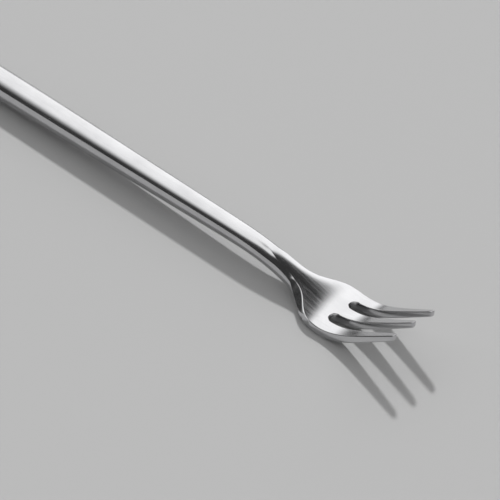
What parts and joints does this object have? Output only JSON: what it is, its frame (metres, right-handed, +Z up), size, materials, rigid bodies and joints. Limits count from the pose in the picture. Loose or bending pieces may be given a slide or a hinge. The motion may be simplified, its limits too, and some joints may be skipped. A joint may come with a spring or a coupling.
{
  "type": "bar fork",
  "caption": "Slender three-tined fork with an arched neck and a long hollow handle, for lifting garnishes out of jars and glasses.",
  "frame": {"origin": "centre of the bounding box in X and Y, at the level of the surface that the fork lies on", "axes": "+X along the handle towards the tips of the tines, +Z up with the fork lying face up, +Y to its left"},
  "size_m": [0.1796, 0.015, 0.0112],
  "materials": {
    "head_steel": "polished",
    "tube_steel": "polished",
    "cap_steel": "polished",
    "braze_metal": "as cast"
  },
  "bodies": {
    "root": {"fork_head": "head_steel", "handle_tube": "tube_steel", "end_cap": "cap_steel", "front_braze_ring": "braze_metal", "rear_braze_ring": "braze_metal"}
  },
  "joints": []
}
